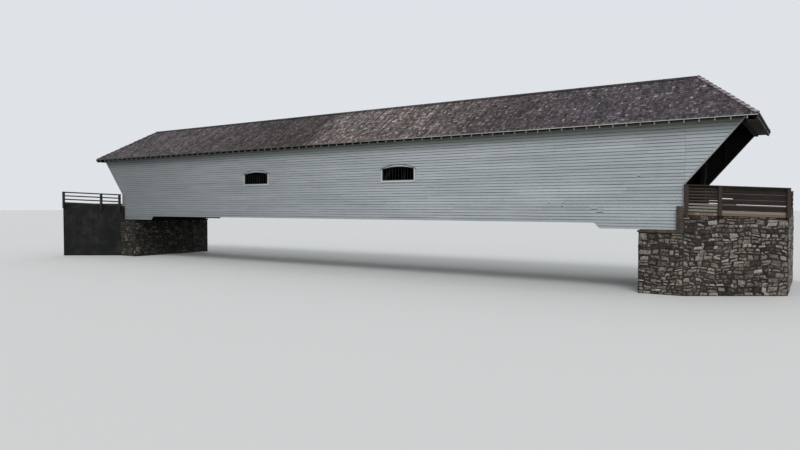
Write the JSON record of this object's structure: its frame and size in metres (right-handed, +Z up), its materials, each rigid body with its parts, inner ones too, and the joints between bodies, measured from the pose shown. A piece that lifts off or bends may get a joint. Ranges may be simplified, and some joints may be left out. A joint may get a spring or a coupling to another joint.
{
  "type": "timber covered bridge, 1:2 scale model",
  "caption": "Single-span timber covered bridge with clapboard walls on trusses, hipped shingle roof over raked portals, masonry abutments and splayed railed approaches.",
  "frame": {"origin": "middle of the bridge, below mid-span, at the level of the water and of both abutments' feet", "axes": "+X along the bridge to the right end, +Y across it to the far side, +Z up"},
  "size_m": [24.9743, 6.2367, 5.175],
  "materials": {
    "painted_boards": "weathered white paint",
    "shingles": "weathered grey-brown shingles",
    "timber": "unpainted dark sawn timber",
    "railing_timber": "dark weathered boards",
    "iron": "dull rusted iron",
    "rubble": "rubble stone in mortar",
    "concrete": "weathered cast concrete"
  },
  "bodies": {
    "root": {"bed_timbers": "timber", "corner_trim": "painted_boards", "deck": "timber", "end_posts": "timber", "far_angle_blocks": "iron", "far_bottom_chord": "timber", "far_counter_braces": "timber", "far_left_railing": "railing_timber", "far_main_braces": "timber", "far_rafters": "timber", "far_right_railing": "railing_timber", "far_roof_slope": "shingles", "far_siding": "painted_boards", "far_studs": "timber", "far_tie_rods": "iron", "far_top_chord": "timber", "far_window_frames": "painted_boards", "floor_beams": "timber", "joists": "timber", "left_abutment": "rubble", "left_bridge_seat": "concrete", "left_end_rafters": "timber", "left_hip_caps": "shingles", "left_hip_rafters": "timber", "left_hip_roof": "shingles", "left_kerbs": "concrete", "left_portal_boards": "painted_boards", "left_portal_frame": "timber", "left_raked_wings": "painted_boards", "near_angle_blocks": "iron", "near_bottom_chord": "timber", "near_counter_braces": "timber", "near_left_railing": "railing_timber", "near_main_braces": "timber", "near_rafters": "timber", "near_right_railing": "railing_timber", "near_roof_slope": "shingles", "near_siding": "painted_boards", "near_studs": "timber", "near_tie_rods": "iron", "near_top_chord": "timber", "near_window_frames": "painted_boards", "ridge_board": "timber", "ridge_cap": "shingles", "right_abutment": "rubble", "right_bridge_seat": "concrete", "right_end_rafters": "timber", "right_hip_caps": "shingles", "right_hip_rafters": "timber", "right_hip_roof": "shingles", "right_kerbs": "concrete", "right_portal_boards": "painted_boards", "right_portal_frame": "timber", "right_raked_wings": "painted_boards", "rod_plates": "iron", "tie_beams": "timber", "wall_plates": "timber"}
  },
  "joints": []
}
